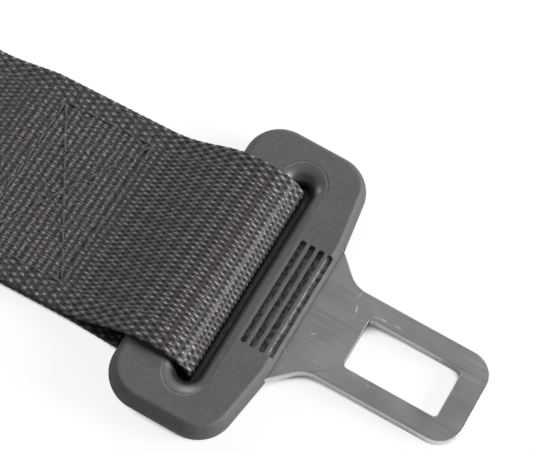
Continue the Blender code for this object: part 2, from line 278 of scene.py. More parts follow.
# Dust in the grooves: its bounds across the tongue, along it and in height
DUST_SIDE = (GRIP_LENGTH / 2, GRIP_LENGTH / 2 + 0.5 * MM)
DUST_REAR = (SLOT_FRONT + 2.9 * MM, SLOT_FRONT + 3.0 * MM)
DUST_FRONT = (SLOT_FRONT + 10.8 * MM, SLOT_FRONT + 10.9 * MM)
DUST_FLOOR = (0.0, 0.1 * MM)
DUST_TOP = (COVER_THICK / 2 - 1.1 * MM, COVER_THICK / 2 - 0.85 * MM)
DUST_SCALE = 900.0
DUST_RISE = (0.38, 0.62)

# Cover's grain and mottle
GRAIN_SCALE = 3200.0
CELL_SCALE = 2600.0
SPOT_SCALE = 1300.0
MOTTLE_SCALE = 140.0
SHADE_RISE = (0.36, 0.64)
SHADE_DARK = (0.84, 0.84, 0.84)
SHADE_LIGHT = (1.14, 1.13, 1.12)
LIP_ROUGHNESS = 0.30
GRAIN_ROUGHNESS = 0.30
MOTTLE_ROUGHNESS = 0.06
GRAIN_BUMP = 0.035 * MM
MOTTLE_BUMP = 0.02 * MM

# Steel's surface: the band that the punch sheared, painted shade on the window's rear wall, the drawn
# lines
SHEARED_RISE = (PLATE_THICK / 2 - 0.30 * MM, PLATE_THICK / 2 - 0.10 * MM)
WINDOW_EDGE_SHADE_WIDTH = (0.24 * MM, 0.30 * MM)
WINDOW_EDGE_SHADE_SIDE = (WINDOW_WIDTH / 2, WINDOW_WIDTH / 2 + 0.2 * MM)
WINDOW_EDGE_SHADE_HEIGHT = (PLATE_THICK / 2 - 0.02 * MM, PLATE_THICK / 2)
WINDOW_EDGE_SHADE_STRENGTH = 0.85
LINE_SCALE = (60, 2600, 900)
CLOUD_SCALE = 90.0
SPECKLE_SCALE = 1500.0
WORN_RISE = (0.30, 0.72)
WORN_TONES = (0.94, 1.06)
STEEL_ROUGHNESS = 0.38
WORN_ROUGHNESS = 0.1
SHEARED_ROUGHNESS = 0.06
STEEL_BUMP = 0.012 * MM

# Scratches on the steel in millimetres, in the tongue's frame: both ends, half width and strength
SCRATCHES = (
    ((29.84, 8.36), (30.12, 10.45), 0.22, 0.45),
    ((31.04, 5.53), (30.51, 7.11), 0.26, 1),
    ((25.52, -3.31), (26.35, -2.68), 0.22, 1),
    ((28.71, -8), (29.38, -8.06), 0.3, 0.3),
    ((22.33, -8.67), (23.44, -9.85), 0.2, 0.5),
    ((23.76, -13.36), (23.99, -12.06), 0.2, 0.4),
    ((34.4, 6.59), (35.97, 7.03), 0.2, 0.5),
    ((36.05, 7.08), (37.24, 7.05), 0.22, 1),
    ((39.16, 7.22), (40.45, 7.19), 0.25, 0.8),
    ((36.68, -6.59), (37.6, -6.95), 0.2, 0.35),
    ((40.2, -7.09), (40.86, -7.15), 0.22, 0.5),
    ((41.38, -6.95), (42.07, -6.87), 0.2, 0.35),
    ((32.52, 4.55), (33.46, 4.77), 0.2, 0.45),
    ((33.38, 3.54), (33.88, 3.38), 0.2, 0.4),
    ((31.18, 4.07), (31.02, 5.16), 0.2, 0.35),
)
SCRATCH_EDGE = 0.3
SCRATCH_FADE = 0.6

# Light: a low broad key from the blade's end, a fill from the far side and a weak one from behind,
# each with its azimuth, height, strength and spread in degrees
LAMPS = (
    ("key_light", 18, 25, 5.1, 24),
    ("fill_light", 115, 35, 0.85, 22),
    ("rear_light", 172, 32, 0.55, 14),
)
WORLD_LIGHT = 0.18
CEILING_LIGHT = 0.22
FLOOR_GLOW = 0.88
WALL_TOP = (0.35, 0.85)
FLOOR_HALF = 6.0

# The floor glows only where this much of its sky is open within this reach
SHELTER_REACH = 8 * MM
SHELTER_RISE = (0.32, 0.42)


class Value:
    """One output of a node. Arithmetic on it adds the Math nodes that it needs."""

    def __init__(self, net, socket):
        self.net = net
        self.socket = socket

    def other(self, name):
        """Another output of the same node."""
        return Value(self.net, find(self.socket.node.outputs, name))

    def __add__(self, term):
        return self.net.math("ADD", self, term)

    def __radd__(self, term):
        return self.net.math("ADD", term, self)

    def __sub__(self, term):
        return self.net.math("SUBTRACT", self, term)

    def __rsub__(self, term):
        return self.net.math("SUBTRACT", term, self)

    def __mul__(self, term):
        return self.net.math("MULTIPLY", self, term)

    def __rmul__(self, term):
        return self.net.math("MULTIPLY", term, self)

    def __truediv__(self, term):
        return self.net.math("DIVIDE", self, term)

    def __rtruediv__(self, term):
        return self.net.math("DIVIDE", term, self)

    def __abs__(self):
        return self.net.math("ABSOLUTE", self)

    def sin(self):
        return self.net.math("SINE", self)

    def cos(self):
        return self.net.math("COSINE", self)

    def wave(self):
        """A cosine wave between 0 and 1."""
        return self.cos() * 0.5 + 0.5

    def sign(self):
        return self.net.math("SIGN", self)

    def least(self, term):
        return self.net.math("MINIMUM", self, term)

    def most(self, term):
        return self.net.math("MAXIMUM", self, term)

    def smooth(self, low, high):
        """0 up to low, 1 from high, and an even turn between them."""
        return self.net.node("ShaderNodeMapRange", {"interpolation_type": "SMOOTHSTEP"},
                             {"Value": self, "From Min": low, "From Max": high})

    def between(self, low, high):
        """A value from 0 to 1 carried on to another range."""
        return self * (high - low) + low

    def towards(self, end, share):
        """This value moved by a share of the way to another."""
        return self + (end - self) * share


def find(sockets, key):
    """A node's socket by its place, or by its name among those in use."""
    if isinstance(key, int):
        return sockets[key]
    return next(s for s in sockets if s.name == key and s.enabled)


class Net:
    """Writes one node tree."""

    def __init__(self, tree):
        self.tree = tree

    def node(self, kind, settings=None, sockets=None, out=0):
        """Adds a node: first its settings, then the values or links of its sockets."""
        made = self.tree.nodes.new(kind)
        for name, value in (settings or {}).items():
            setattr(made, name, value)
        for key, value in (sockets or {}).items():
            socket = find(made.inputs, key)
            if isinstance(value, Value):
                self.tree.links.new(value.socket, socket)
            else:
                socket.default_value = value
        shown = [s for s in made.outputs if s.enabled]
        if not shown:
            return None
        return Value(self, find(made.outputs, out) if isinstance(out, str) else shown[out])

    def math(self, operation, *terms):
        return self.node("ShaderNodeMath", {"operation": operation}, dict(enumerate(terms)))

    def vector(self, operation, *terms):
        return self.node("ShaderNodeVectorMath", {"operation": operation}, dict(enumerate(terms)))

    def scaled(self, vector, amount):
        return self.node("ShaderNodeVectorMath", {"operation": "SCALE"},
                         {"Vector": vector, "Scale": amount})

    def pack(self, x, y, z=0.0):
        return self.node("ShaderNodeCombineXYZ", None, {"X": x, "Y": y, "Z": z})

    def split(self, vector):
        x = self.node("ShaderNodeSeparateXYZ", None, {"Vector": vector})
        return x, x.other("Y"), x.other("Z")

    def blend(self, share, start, end):
        """A colour between two others."""
        return self.node("ShaderNodeMix", {"data_type": "RGBA"},
                         {"Factor": share, "A": start, "B": end})

    def tint(self, first, second):
        """One colour times another."""
        return self.node("ShaderNodeMix", {"data_type": "RGBA", "blend_type": "MULTIPLY"},
                         {"Factor": 1.0, "A": first, "B": second})

    def noise(self, place, scale, detail=2.0, roughness=0.5):
        return self.node("ShaderNodeTexNoise", None, {"Vector": place, "Scale": scale, "Detail": detail,
                                                      "Roughness": roughness})

    def streaks(self, place, scales, detail=2.0, roughness=0.5):
        """Noise with a scale of its own along each axis."""
        return self.noise(self.pack(*(p * s for p, s in zip(place, scales))), 1.0, detail, roughness)


def rgba(colour, strength=1.0):
    return (*(c * strength for c in colour), 1.0)


def linked(name, data):
    made = bpy.data.objects.new(name, data)
    bpy.context.scene.collection.objects.link(made)
    return made


# Shapes drawn as outlines

def arc(centre, radius, start, end, steps=ARC_STEPS):
    """Points round a centre, from one angle in degrees to another."""
    turns = [math.radians(start + (end - start) * i / steps) for i in range(steps + 1)]
    return [(centre[0] + radius * math.cos(a), centre[1] + radius * math.sin(a)) for a in turns]


def mirrored(half):
    """A closed outline from its +Y half, which runs from the front round to the rear."""
    return half + [(x, -y) for x, y in reversed(half)]


def rounded_box(rear, front, half_width, corner, steps=ARC_STEPS):
    front_arc = arc((front - corner, half_width - corner), corner, 0, 90, steps)
    rear_arc = arc((rear + corner, half_width - corner), corner, 90, 180, steps)
    return mirrored(front_arc + rear_arc)


def cover_outline(inset):
    """Straight across the blade's root, then swept back a little to the rounded lobes."""
    lobe = COVER_HALF - COVER_CORNER
    centre = (COVER_FRONT - FRONT_SWEEP - COVER_CORNER, lobe)
    radius = COVER_CORNER - inset
    swept = math.degrees(math.atan2(FRONT_SWEEP, lobe - ROOT_WIDTH / 2))
    front_arc = arc(centre, radius, swept, 90)
    rear_arc = arc((COVER_REAR + COVER_CORNER, lobe), radius, 90, 180)
    return mirrored([(COVER_FRONT - inset, ROOT_WIDTH / 2)] + front_arc + rear_arc)


def slot_outline(grow, longer=0.0):
    """The belt slot at mid thickness, its walls moved out, and its ends by a further amount."""
    radius = SLOT_WIDTH / 2 + grow
    return rounded_box(SLOT_REAR - grow, SLOT_FRONT + grow, SLOT_HALF + grow + longer, radius)


def plate_outline(grow=0.0):
    """Rounded tip, blade, 45 degree shoulders and the head inside the cover."""
    blade = BLADE_WIDTH / 2 + grow
    tip_radius = TIP_RADIUS + grow
    fillet = SHOULDER_FILLET - grow
    head_front = COVER_FRONT - FRONT_SWEEP - HEAD_WALL + grow
    head_rear = COVER_REAR + HEAD_WALL - grow
    head_half = COVER_HALF - HEAD_WALL + grow
    flank_sum = COVER_FRONT + ROOT_WIDTH / 2 + grow * math.sqrt(2)
    fillet_centre = (flank_sum - blade - fillet + fillet * math.sqrt(2), blade + fillet)
    points = arc((BLADE_TIP + grow - tip_radius, blade - tip_radius), tip_radius, 0, 90)
    points += arc(fillet_centre, fillet, 270, 225)
    points.append((head_front, flank_sum - head_front))
    points += arc((head_front - HEAD_CORNER, head_half - HEAD_CORNER), HEAD_CORNER, 0, 90)
    points += arc((head_rear + HEAD_CORNER, head_half - HEAD_CORNER), HEAD_CORNER, 90, 180)
    return mirrored(points)


def loft(name, rings):
    """Joins level outlines, given as (height, points) from the bottom up, into a closed body."""
    bm = bmesh.new()
    loops = [[bm.verts.new((x, y, z)) for x, y in points] for z, points in rings]
    for low, high in zip(loops, loops[1:]):
        for i in range(len(low)):
            j = (i + 1) % len(low)
            bm.faces.new((low[i], low[j], high[j], high[i]))
    bm.faces.new(loops[0][::-1])
    bm.faces.new(loops[-1])
    bmesh.ops.recalc_face_normals(bm, faces=bm.faces)
    mesh = bpy.data.meshes.new(name)
    bm.to_mesh(mesh)
    bm.free()
    return linked(name, mesh)


def flat_part(name, outlines, thickness, edge, edge_steps):
    """A flat body from an outline and the outlines of its holes, with its edges rounded."""
    curve = bpy.data.curves.new(name, "CURVE")
    curve.dimensions = "2D"
    curve.fill_mode = "BOTH"
    curve.extrude = thickness / 2 - edge
    curve.bevel_depth = edge
    curve.bevel_resolution = edge_steps
    curve.offset = -edge
    for points in outlines:
        spline = curve.splines.new("POLY")
        spline.points.add(len(points) - 1)
        for point, (x, y) in zip(spline.points, points):
            point.co = (x, y, 0, 1)
        spline.use_cyclic_u = True
    drawing = linked(name, curve)
    mesh = bpy.data.meshes.new_from_object(drawing)
    bpy.data.objects.remove(drawing)
    bm = bmesh.new()
    bm.from_mesh(mesh)
    bmesh.ops.remove_doubles(bm, verts=bm.verts, dist=PLATE_WELD)
    bmesh.ops.recalc_face_normals(bm, faces=bm.faces)
    for face in bm.faces:
        face.material_index = 0
    bm.to_mesh(mesh)
    bm.free()
    return linked(name, mesh)


def quarter(radius, steps, last):
    """(sideways, up) along a quarter turn that starts upright and stops at an angle."""
    turns = [last * i / steps for i in range(steps + 1)]
    return [(radius * (1 - math.cos(a)), radius * math.sin(a)) for a in turns]


def slot_cutter():
    """The belt slot with rounded lips, which flare to both faces and further at the ends."""
    reach = COVER_THICK / 2
    start = reach - SLOT_FLARE * math.sin(LIP_ANGLE)
    upper = [(start + up, out) for out, up in quarter(SLOT_FLARE, FLARE_STEPS, LIP_ANGLE)]
    # the lip ends in a small upright step below the face, all round the slot
    height, grow = upper[-1]
    upper[-1] = (height - FLARE_STEP, grow)
    upper.append((height + CUT_PAST, grow))
    levels = [(-z, grow) for z, grow in reversed(upper)] + upper
    return loft("belt_slot", [(z, slot_outline(grow, grow * END_FLARE)) for z, grow in levels])


def grip_cutter(index):
    """One grip groove, with a rounded floor edge and a rounded lip."""
    middle = SLOT_FRONT + GRIP_INSET + index * GRIP_PITCH
    top = COVER_THICK / 2
    lip = quarter(GRIP_LIP, GRIP_LIP_STEPS, LIP_ANGLE)
    walls = [(top - GRIP_DEPTH, -GRIP_LIP), (top - GRIP_DEPTH + GRIP_LIP, 0.0)]
    walls += [(top - lip[-1][1] + up, out) for out, up in lip]
    height, grow = walls[-1]
    walls[-1] = (height + GRIP_LIP, grow + GRIP_LIP * math.tan(LIP_ANGLE))
    rings = []
    for height, grow in walls:
        half = GRIP_WIDTH / 2 + grow
        outline = rounded_box(middle - half, middle + half, GRIP_LENGTH / 2 + grow,
                              GRIP_CORNER + grow, CORNER_STEPS)
        rings.append((height, outline))
    return loft("grip_groove_%d" % (index + 1), rings)


def rim_profile():
    """(height, inset) from the widest line up to the face, by a broad arc and a soft corner."""
    half = COVER_THICK / 2
    turn = 2 * math.atan(RIM_INSET / half)
    radius = half / math.sin(turn)
    # the fillet touches the arc and the face at this distance from the corner between them
    ease = RIM_FILLET * math.tan((math.pi / 2 - turn) / 2)
    rings = []
    for i in range(RIM_STEPS):
        angle = (turn - ease / radius) * i / RIM_STEPS
        rings.append((radius * math.sin(angle), radius * (1 - math.cos(angle))))
    for i in range(RIM_FILLET_STEPS + 1):
        angle = turn + (math.pi / 2 - turn) * i / RIM_FILLET_STEPS
        rings.append((half - RIM_FILLET * (1 - math.sin(angle)),
                      RIM_INSET + ease - RIM_FILLET * math.cos(angle)))
    return rings


def cut_with(body, cutters):
    """Cuts each shape out of the body and removes the shapes."""
    for cutter in cutters:
        modifier = body.modifiers.new(cutter.name, "BOOLEAN")
        modifier.operation = "DIFFERENCE"
        modifier.solver = "EXACT"
        modifier.object = cutter
    settled(body)
    for cutter in cutters:
        bpy.data.objects.remove(cutter)


def settled(body):
    """Applies the modifiers of an object to its mesh."""
    bpy.context.view_layer.update()
    depsgraph = bpy.context.evaluated_depsgraph_get()
    mesh = bpy.data.meshes.new_from_object(body.evaluated_get(depsgraph), depsgraph=depsgraph)
    body.modifiers.clear()
    body.data = mesh


def rounded_look(body, sharp):
    """Smooth shading with sharp corners past an angle in degrees, and even light on flat faces."""
    body.data.shade_smooth()
    body.data.set_sharp_from_angle(angle=math.radians(sharp))
    modifier = body.modifiers.new("even_faces", "WEIGHTED_NORMAL")
    modifier.keep_sharp = True
    settled(body)


def dressed(body, finish, slot, rides, *nodes):
    """Gives a finished piece its material and body, and hides the CAD nodes that it stands for."""
    body.data.materials.clear()
    body.data.materials.append(finish)
    if rides:
        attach(body, rides)
    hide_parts(*nodes)
    return body


def tongue_cover():
    upper = rim_profile()
    levels = [(-z, inset) for z, inset in reversed(upper[1:])] + upper
    cover = loft("moulded_cover", [(z, cover_outline(inset)) for z, inset in levels])
    cutters = [slot_cutter()]
    for index in range(GRIP_COUNT):
        cutters.append(grip_cutter(index))
    outlines = [plate_outline(FIT_GAP), slot_outline(SLOT_LINING - FIT_GAP)]
    cutters.append(flat_part("plate_pocket", outlines, PLATE_THICK + 2 * FIT_GAP, PLATE_EDGE / 2, 0))
    cut_with(cover, cutters)
    rounded_look(cover, COVER_SHARP)
    cover.data.transform(TONGUE)
    return dressed(cover, cover_plastic(), "cover", "tongue", "tongue_cover")


def tongue_plate():
    window = rounded_box(WINDOW_REAR, WINDOW_REAR + WINDOW_LENGTH, WINDOW_WIDTH / 2, WINDOW_CORNER,
                         CORNER_STEPS)
    outlines = [plate_outline(), window, slot_outline(SLOT_LINING)]
    plate = flat_part("steel_tongue", outlines, PLATE_THICK, PLATE_EDGE, PLATE_EDGE_STEPS)
    rounded_look(plate, PLATE_SHARP)
    plate.data.transform(TONGUE)
    return dressed(plate, tongue_steel(), "steel", "tongue", "tongue_plate")


# The strip's line

def on_tongue(x, z):
    """A place in the tongue's own plane of symmetry, as (X, Z) over the table."""
    spot = TONGUE @ Vector((x, 0, z))
    return Vector((spot.x, spot.z))


def behind(x, z):
    """A place measured from the hinge axis along the table, as (X, Z)."""
    return Vector((HINGE.x + x, z))


def bend(start, leave, arrive, end):
    """Points on a cubic curve, all but the last."""
    points = []
    for i in range(PATH_STEPS):
        t = i / PATH_STEPS
        s = 1 - t
        points.append(s ** 3 * start + 3 * s * s * t * leave + 3 * s * t * t * arrive + t ** 3 * end)
    return points


def level_bend(start, end, leave=0.5, arrive=0.5):
    """A curve that leaves and arrives level, its handles given as shares of its run."""
    run = end.x - start.x
    return bend(start, start + Vector((run * leave, 0)), end - Vector((run * arrive, 0)), end)


def webbing_stretches():
    """The middle of the strip in stretches, from its sewn tail round the bar to the free end."""
    half = WEBBING_THICK / 2
    table = half
    lower = PACK_LIFT + half
    upper = lower + WEBBING_THICK + PLY_GAP
    up = Vector((math.sin(PITCH), math.cos(PITCH)))
    in_slot = on_tongue(SLOT_FRONT - SLOT_FRONT_ROOM - half, 0)
    over_bar = on_tongue(-BAR_WIDTH * CROWN_BEHIND, COVER_THICK / 2 + OVER_BAR_GAP + half)
    under_bar = behind(BAR_WIDTH * UNDERSIDE_AHEAD, table)
    toe = under_bar + Vector(((in_slot.x - HINGE.x) * UNDERSIDE_REACH, 0))
    drop = in_slot - up * (in_slot.y - table) * SLOT_CLIMB
    rise = in_slot + up * (over_bar.y - in_slot.y) * SLOT_RISE
    brow = over_bar - Vector(((over_bar.x - in_slot.x) * CROWN_REACH, 0))
    return [
        [behind(TAIL_END, lower)],
        level_bend(behind(PACK_FRONT, lower), behind(COVER_REAR - half, table)),
        bend(under_bar, toe, drop, in_slot),
        bend(in_slot, rise, brow, over_bar),
        level_bend(over_bar, behind(PACK_FRONT, upper), CROWN_LEAVE, PACK_ARRIVE),
        level_bend(behind(TAIL_END, upper), behind(RAMP_END, table), RAMP_LEAVE, RAMP_ARRIVE),
        [behind(RAMP_END, table), behind(FREE_END, table)],
    ]


def seam_lines():
    """The sewn box's four sides and two diagonals, as pairs of (X, Y)."""
    front = HINGE.x + STITCH_FRONT
    rear = front - STITCH_BOX_LENGTH
    side = WEBBING_WIDTH / 2 - STITCH_EDGE_MARGIN
    corners = [Vector(c) for c in ((front, side), (rear, side), (rear, -side), (front, -side))]
    lines = [(corners[i], corners[(i + 1) % 4]) for i in range(4)]
    return lines + [(corners[0], corners[2]), (corners[1], corners[3])]


def line_curve(name, lines):
    """A curve object with one straight-sided spline for each list of points."""
    curve = bpy.data.curves.new(name, "CURVE")
    curve.dimensions = "3D"
    for points in lines:
        spline = curve.splines.new("POLY")
        spline.points.add(len(points) - 1)
        for point, place in zip(spline.points, points):
            point.co = (*place, 1)
    return linked(name, curve)


# Geometry trees

def geometry_tree(name, inputs):
    """A tree with a geometry in and out and the given named inputs; gives its net and its inputs."""
    tree = bpy.data.node_groups.new(name, "GeometryNodeTree")
    face = tree.interface
    face.new_socket("Geometry", in_out="INPUT", socket_type="NodeSocketGeometry")
    for label, kind in inputs.items():
        face.new_socket(label, in_out="INPUT", socket_type="NodeSocket" + kind)
    face.new_socket("Geometry", in_out="OUTPUT", socket_type="NodeSocketGeometry")
    net = Net(tree)
    return net, net.node("NodeGroupInput")


def close_tree(net, geometry, finish):
    plain = net.node("GeometryNodeRealizeInstances", None, {"Geometry": geometry})
    coated = net.node("GeometryNodeSetMaterial", None, {"Geometry": plain, "Material": finish})
    net.node("NodeGroupOutput", None, {"Geometry": coated})


def grown(name, net, base, values):
    """The plain mesh that a tree makes of a base object, which it then removes."""
    modifier = base.modifiers.new(name, "NODES")
    modifier.node_group = net.tree
    for item in net.tree.interface.items_tree:
        if item.in_out == "INPUT" and item.name in values:
            modifier[item.identifier] = values[item.name]
    bpy.context.view_layer.update()
    depsgraph = bpy.context.evaluated_depsgraph_get()
    mesh = bpy.data.meshes.new_from_object(base.evaluated_get(depsgraph), preserve_all_data_layers=True,
                                           depsgraph=depsgraph)
    bpy.data.objects.remove(base)
    return linked(name, mesh)


def weave(net, along, across, sewn):
    """How high the cloth stands at a place on the strip: 0 in a gap, 1 on the crown of a float."""
    place = net.pack(along, across)
    stray = net.noise(place, STRAY_SCALE) - 0.5
    along = along + stray * (2 * WANDER)
    across = across + stray * WANDER
    from_middle = abs(across)
    selvage = WEBBING_WIDTH / 2 - SELVAGE_WIDTH
    in_selvage = from_middle.smooth(selvage - SELVAGE_BLEND, selvage + SELVAGE_BLEND)
    rows = (across * (math.pi / ROW_PITCH)).cos()
    edge_rows = ((from_middle - selvage) * (math.pi / SELVAGE_ROW_PITCH)).cos()
    rows = rows.towards(edge_rows, in_selvage)
    half_turns = along * (math.pi / RIB_PITCH)
    picks = (half_turns + rows * STAGGER).cos()
    checks = picks * (picks * picks * FLOAT_PEAK + (1 - FLOAT_PEAK)) * rows * 0.5 + 0.5
    cords = (across * (2 * math.pi / CORD_PITCH)).wave()
    lumps = net.noise(place, LUMP_SCALE, 1.0)
    floats = checks * (PLAIN_SHARE + cords * CORD_SHARE + lumps * LUMP_SHARE)
    ribs = (half_turns * 2).wave()
    streaks = net.streaks((along, across), STREAK_SCALE, 1.0)
    drawn = checks * SEWN_CHECKS + ribs * SEWN_RIBS + streaks * SEWN_STREAKS - SEWN_SINK
    drawn_share = sewn * (SEWN_STRENGTH - in_selvage * SEWN_SELVAGE)
    return floats.towards(drawn, drawn_share).most(0.0).least(1.0)


def sewn_share(net, along, front, rear):
    """1 on the sewn stretch of the upper ply, less behind it, 0 in the loop."""
    started = along.smooth(front - SEWN_BEFORE, front + SEWN_PAST)
    return started * (1 - along.smooth(rear, rear + SEWN_BEHIND) * SEWN_LOSS)


def webbing_tree(length, front, rear):
    inputs = {"Width": "Float", "Thickness": "Float", "Edge Round": "Float", "Float Height": "Float",
              "Seam Depth": "Float", "Seam Width": "Float", "Seams": "Object", "Cloth": "Material"}
    net, given = geometry_tree("woven_strip", inputs)
    path = given.other("Geometry")
    width = given.other("Width")
    thick = given.other("Thickness")
    rounding = given.other("Edge Round")
    seams = net.node("GeometryNodeObjectInfo", None, {"Object": given.other("Seams")}, "Geometry")
    threads = net.node("GeometryNodeCurveToMesh", None, {"Curve": seams})
    rows = round(length / RIB_PITCH * STEPS_PER_RIB) + 1

    def face(side, columns):
        """One face of the strip: +1 the outer one of the loop, -1 the one towards the bar."""
        grid = net.node("GeometryNodeMeshGrid", None, {"Size X": 1.0, "Size Y": 1.0, "Vertices X": rows,
                                                       "Vertices Y": columns})
        x, y, _ = net.split(net.node("GeometryNodeInputPosition"))
        along = (x + 0.5) * length
        reach = abs(y) * 2
        flat_share = 1 - 2 * EDGE_STEPS / columns
        turn = ((reach - flat_share) / (1 - flat_share)).most(0.0) * (math.pi / 2)
        scallop = (along * (2 * math.pi / RIB_PITCH)).wave() * EDGE_SCALLOP
        flat = (reach / flat_share).least(1.0) * (width / 2 - rounding)
        out = flat + turn.sin() * (rounding - scallop)
        across = out * y.sign() * -side
        kept = net.node("GeometryNodeStoreNamedAttribute", {"data_type": "FLOAT2", "domain": "CORNER"},
                        {"Geometry": grid, "Name": "strip", "Value": net.pack(along, across)})
        line = net.node("GeometryNodeSampleCurve", {"mode": "LENGTH"},
                        {"Curves": path, "Length": along}, "Position")
        normal = net.vector("CROSS_PRODUCT", (0.0, 1.0, 0.0), line.other("Tangent"))
        middle = net.vector("ADD", line, net.pack(0.0, across, 0.0))
        skin = net.vector("ADD", middle, net.scaled(normal, thick * (0.5 * side)))
        near = net.node("GeometryNodeProximity", {"target_element": "EDGES"},
                        {"Geometry": threads, "Sample Position": skin}, "Distance")
        furrow = (1 - near.smooth(0.0, given.other("Seam Width"))) * given.other("Seam Depth")
        height = weave(net, along, across, sewn_share(net, along, front, rear))
        sunk = (1 - height) * given.other("Float Height") + furrow
        lift = (thick / 2 - sunk) * turn.cos() * side
        place = net.vector("ADD", middle, net.scaled(normal, lift))
        return net.node("GeometryNodeSetPosition", None, {"Geometry": kept, "Position": place})

    both = net.node("GeometryNodeJoinGeometry")
    for side, columns in ((1, OUTER_COLUMNS), (-1, INNER_COLUMNS)):
        net.tree.links.new(face(side, columns).socket, both.socket.node.inputs[0])
    closed = net.node("GeometryNodeMergeByDistance", None, {"Geometry": both, "Distance": STRIP_WELD})
    smooth = net.node("GeometryNodeSetShadeSmooth", None, {"Geometry": closed})
    close_tree(net, smooth, given.other("Cloth"))
    return net


def webbing(seams):
    """The woven strip with its ends closed, and its length."""
    stretches = webbing_stretches()
    points = [p for stretch in stretches for p in stretch]
    marks = [0.0]
    for a, b in zip(points, points[1:]):
        marks.append(marks[-1] + (b - a).length)
    before = sum(len(stretch) for stretch in stretches[:STRETCHES_BEFORE_SEWING])
    front = marks[before - 1] + (points[before - 1] - behind(PACK_FRONT, points[before].y)).length
    rear = marks[before]
    net = webbing_tree(marks[-1], front, rear)
    line = line_curve("webbing_line", [[(p.x, 0.0, p.y) for p in points]])
    strip = grown("woven_webbing", net, line, {
        "Width": WEBBING_WIDTH, "Thickness": WEBBING_THICK, "Edge Round": EDGE_ROUND,
        "Float Height": FLOAT_HEIGHT, "Seam Depth": SEAM_DEPTH, "Seam Width": SEAM_WIDTH,
        "Seams": seams, "Cloth": webbing_cloth(front, rear)})
    bm = bmesh.new()
    bm.from_mesh(strip.data)
    bmesh.ops.holes_fill(bm, edges=[e for e in bm.edges if e.is_boundary])
    bm.to_mesh(strip.data)
    bm.free()
    return strip, marks[-1]


def stitch_tree():
    inputs = {"Pitch": "Float", "Stitch": "Float", "Radius": "Float", "Rise": "Float", "Sink": "Float",
              "Side": "Float", "Seed": "Int", "Thread": "Material"}
    net, given = geometry_tree("lock_stitches", inputs)
    side = given.other("Side")
    half = given.other("Stitch") / 2
    run = net.node("GeometryNodeSplineLength")
    count = net.math("ROUND", run / given.other("Pitch"))
    margin = run / count / 2
    # inputs 4 and 5 are the lengths at which the kept stretch starts and ends
    inner = net.node("GeometryNodeTrimCurve", {"mode": "LENGTH"},
                     {"Curve": given.other("Geometry"), 4: margin, 5: run - margin})
    spots = net.node("GeometryNodeResampleCurve", None, {"Curve": inner, "Count": count})
    foot = given.other("Sink") * side * -1
    crest = (given.other("Rise") * 2 + given.other("Sink")) * side
    bow = net.node("GeometryNodeCurveQuadraticBezier", None, {
        "Resolution": STITCH_STEPS, "Start": net.pack(half * -1, 0.0, foot),
        "Middle": net.pack(0.0, 0.0, crest), "End": net.pack(half, 0.0, foot)})
    rail = net.node("GeometryNodeStoreNamedAttribute", {"data_type": "FLOAT", "domain": "POINT"}, {
        "Geometry": bow, "Name": "lay_along", "Value": net.node("GeometryNodeSplineParameter")})
    ring = net.node("GeometryNodeCurvePrimitiveCircle", None,
                    {"Resolution": STITCH_STEPS, "Radius": given.other("Radius")})
    profile = net.node("GeometryNodeStoreNamedAttribute", {"data_type": "FLOAT", "domain": "POINT"}, {
        "Geometry": ring, "Name": "lay_around", "Value": net.node("GeometryNodeSplineParameter")})
    stitch = net.node("GeometryNodeCurveToMesh", None, {"Curve": rail, "Profile Curve": profile,
                                                        "Fill Caps": True})
    run_x, run_y, _ = net.split(net.node("GeometryNodeInputTangent"))
    stray = net.node("FunctionNodeRandomValue", {"data_type": "FLOAT"},
                     {"Min": -STITCH_STRAY, "Max": STITCH_STRAY, "Seed": given.other("Seed")})
    turn = net.math("ARCTAN2", run_y, run_x) + stray
    spread = net.node("GeometryNodeInstanceOnPoints", None, {
        "Points": spots, "Instance": stitch, "Rotation": net.pack(0.0, 0.0, turn)})
    close_tree(net, spread, given.other("Thread"))
    return net


def stitches(net, name, level, side, seed, node):
    """The stitches along all the sewn lines, on one face of the plies."""
    thread = sewing_thread()
    lines = [[(p.x, p.y, level) for p in line] for line in seam_lines()]
    made = grown(name, net, line_curve(name + "_lines", lines), {
        "Pitch": STITCH_PITCH, "Stitch": STITCH_LENGTH, "Radius": THREAD_RADIUS, "Rise": STITCH_RISE,
        "Sink": STITCH_SINK, "Side": side, "Seed": seed, "Thread": thread})
    made.data.shade_smooth()
    return dressed(made, thread, "thread", "belt", node)


# Finishes

def finish(name):
    """A new material: its net and the Principled shader that it ends in."""
    made = bpy.data.materials.new(name)
    made.use_nodes = True
    net = Net(made.node_tree)
    return made, net, made.node_tree.nodes["Principled BSDF"]


def feed(net, shader, constants, links):
    """Sets what is the same all over on the shader, and links what changes over the surface."""
    for name, value in constants.items():
        shader.inputs[name].default_value = value
    for name, value in links.items():
        net.tree.links.new(value.socket, shader.inputs[name])


def bump(net, height, distance, strength=1.0, after=None):
    sockets = {"Height": height, "Distance": distance, "Strength": strength}
    if after:
        sockets["Normal"] = after
    return net.node("ShaderNodeBump", None, sockets)


def own_frame(net):
    """Object coordinates turned and moved into the tongue's own frame."""
    place = net.node("ShaderNodeTexCoord", out="Object")
    centred = net.vector("SUBTRACT", place, tuple(HINGE))
    level = net.node("ShaderNodeMapping", {"vector_type": "POINT"},
                     {"Vector": centred, "Rotation": (0.0, -PITCH, 0.0)})
    return level, net.split(level)


